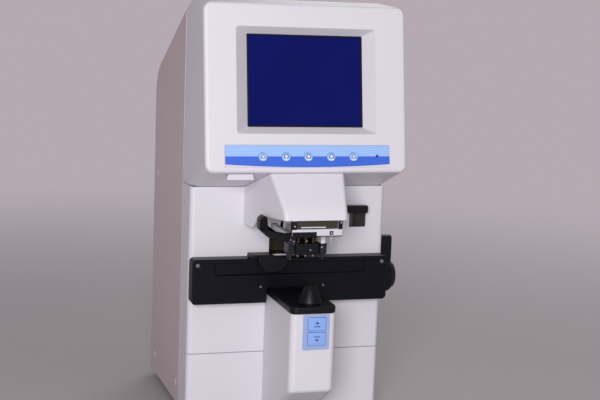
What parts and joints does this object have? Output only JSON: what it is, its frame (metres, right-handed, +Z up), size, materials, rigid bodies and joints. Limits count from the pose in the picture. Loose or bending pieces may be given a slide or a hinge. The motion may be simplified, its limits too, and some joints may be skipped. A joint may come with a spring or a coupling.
{
  "type": "automatic lensmeter",
  "caption": "Desktop automatic lensmeter: tilted screen head, upper and lower optical noses, sliding lens table with lever, lens presser and ink marking unit.",
  "frame": {"origin": "bottom centre of the whole instrument, on the desk under its feet", "axes": "+Z up, -Y towards the operator (the screen side), +X to the operator's right"},
  "size_m": [0.22, 0.282, 0.4195],
  "materials": {
    "shell_plastic": "satin, fine moulded texture",
    "cover_paint": "satin powder coat",
    "black_plastic": "satin",
    "black_metal": "black anodised, satin",
    "black_rubber": "matt",
    "bright_steel": "bright, fine brushed",
    "cast_alloy": "as cast",
    "brass": "turned",
    "copper": "turned, dulled",
    "screen_glass": "glossy, unlit blue display",
    "lens_glass": "polished, coated",
    "label_film": "semi-gloss printed film",
    "key_plastic": "semi-gloss",
    "circuit_board": "solder mask",
    "tinplate": "plain sheet"
  },
  "bodies": {
    "base": {"base_plate": "cast_alloy", "foot_front_left": "black_rubber", "foot_front_right": "black_rubber", "foot_rear_left": "black_rubber", "foot_rear_right": "black_rubber", "rear_cover": "cover_paint", "lower_front_panel": "shell_plastic", "front_moulding": "shell_plastic", "head_bezel": "shell_plastic", "lcd_module": "tinplate", "screen_glass": "screen_glass", "label_strip": "label_film", "upper_nose_housing": "shell_plastic", "nose_plate": "black_plastic", "objective_barrel": "bright_steel", "objective_lens": "lens_glass", "sensor_board": "circuit_board", "lower_nose_housing": "shell_plastic", "nose_cap": "black_plastic", "nosepiece": "black_plastic", "collimator_tube": "black_plastic", "collimator_lens": "lens_glass", "light_source": "circuit_board", "key_label": "label_film", "rod_bushing_left": "brass", "rod_bushing_right": "brass", "marker_guide_rod": "bright_steel", "marking_bracket": "bright_steel", "lever_bracket": "bright_steel", "presser_rod": "bright_steel", "recess_liner": "black_plastic", "optical_frame": "cast_alloy", "main_board": "circuit_board", "power_supply": "tinplate", "power_inlet": "black_plastic"},
    "table": {"table_bar": "black_metal", "guide_rod_left": "bright_steel", "guide_rod_right": "bright_steel", "table_rack": "bright_steel"},
    "pd_slider": {"pd_slider": "black_plastic"},
    "table_lever": {"table_lever": "black_plastic", "pinion_shaft": "bright_steel"},
    "marker": {"marker_block": "black_plastic", "marking_pin_1": "copper", "marking_pin_2": "copper", "marking_pin_3": "copper"},
    "marking_lever": {"marking_lever": "black_plastic"},
    "presser": {"presser_frame": "shell_plastic", "presser_handle": "black_plastic", "presser_tip_left": "black_rubber", "presser_tip_right": "black_rubber"},
    "contrast_knob": {"contrast_knob": "shell_plastic"},
    "power_rocker": {"power_rocker": "black_plastic"},
    "memory_key": {"memory_key": "key_plastic"},
    "read_key": {"read_key": "key_plastic"},
    "menu_key_1": {"menu_key_1": "key_plastic"},
    "menu_key_2": {"menu_key_2": "key_plastic"},
    "menu_key_3": {"menu_key_3": "key_plastic"},
    "menu_key_4": {"menu_key_4": "key_plastic"},
    "menu_key_5": {"menu_key_5": "key_plastic"}
  },
  "joints": [
    {"name": "table_slide", "type": "slide", "parent": "base", "child": "table", "axis": [0, -1, 0], "range_m": [0, 0.0259]},
    {"name": "table_lever_turn", "type": "hinge", "parent": "base", "child": "table_lever", "pos_m": [0.09, -0.02605, 0.142], "axis": [1, 0, 0], "range_deg": [0, 90]},
    {"name": "pd_slide", "type": "slide", "parent": "table", "child": "pd_slider", "axis": [1, 0, 0], "range_m": [-0.031, 0.08]},
    {"name": "marker_slide", "type": "slide", "parent": "base", "child": "marker", "axis": [0, -0.7071, -0.7071], "range_m": [0, 0.0276], "stiffness_N_per_m": 40, "springref_m": -0.02},
    {"name": "marking_lever_turn", "type": "hinge", "parent": "base", "child": "marking_lever", "pos_m": [0.06225, -0.01255, 0.2125], "axis": [1, 0, 0], "range_deg": [0, 16]},
    {"name": "presser_slide", "type": "slide", "parent": "base", "child": "presser", "axis": [0, 0, -1], "range_m": [0, 0.018]},
    {"name": "contrast_slide", "type": "slide", "parent": "base", "child": "contrast_knob", "axis": [1, 0, 0], "range_m": [-0.006, 0.006]},
    {"name": "power_rocker_tip", "type": "hinge", "parent": "base", "child": "power_rocker", "pos_m": [0.002, 0.13355, 0.06], "axis": [1, 0, 0], "range_deg": [0, 20]},
    {"name": "menu_key_1_press", "type": "slide", "parent": "base", "child": "menu_key_1", "axis": [0, 0.9868, -0.1621], "range_m": [0, 0.0008], "stiffness_N_per_m": 400, "springref_m": -0.0005},
    {"name": "menu_key_2_press", "type": "slide", "parent": "base", "child": "menu_key_2", "axis": [0, 0.9868, -0.1621], "range_m": [0, 0.0008], "stiffness_N_per_m": 400, "springref_m": -0.0005},
    {"name": "menu_key_3_press", "type": "slide", "parent": "base", "child": "menu_key_3", "axis": [0, 0.9868, -0.1621], "range_m": [0, 0.0008], "stiffness_N_per_m": 400, "springref_m": -0.0005},
    {"name": "menu_key_4_press", "type": "slide", "parent": "base", "child": "menu_key_4", "axis": [0, 0.9868, -0.1621], "range_m": [0, 0.0008], "stiffness_N_per_m": 400, "springref_m": -0.0005},
    {"name": "menu_key_5_press", "type": "slide", "parent": "base", "child": "menu_key_5", "axis": [0, 0.9868, -0.1621], "range_m": [0, 0.0008], "stiffness_N_per_m": 400, "springref_m": -0.0005},
    {"name": "memory_key_press", "type": "slide", "parent": "base", "child": "memory_key", "axis": [0, 1, 0], "range_m": [0, 0.0008], "stiffness_N_per_m": 400, "springref_m": -0.0005},
    {"name": "read_key_press", "type": "slide", "parent": "base", "child": "read_key", "axis": [0, 1, 0], "range_m": [0, 0.0008], "stiffness_N_per_m": 400, "springref_m": -0.0005}
  ],
  "couplings": [
    {"joint": "table_lever_turn", "follows": "table_slide", "rad_per_m": 60.606},
    {"joint": "marking_lever_turn", "follows": "marker_slide", "rad_per_m": 10.11}
  ]
}
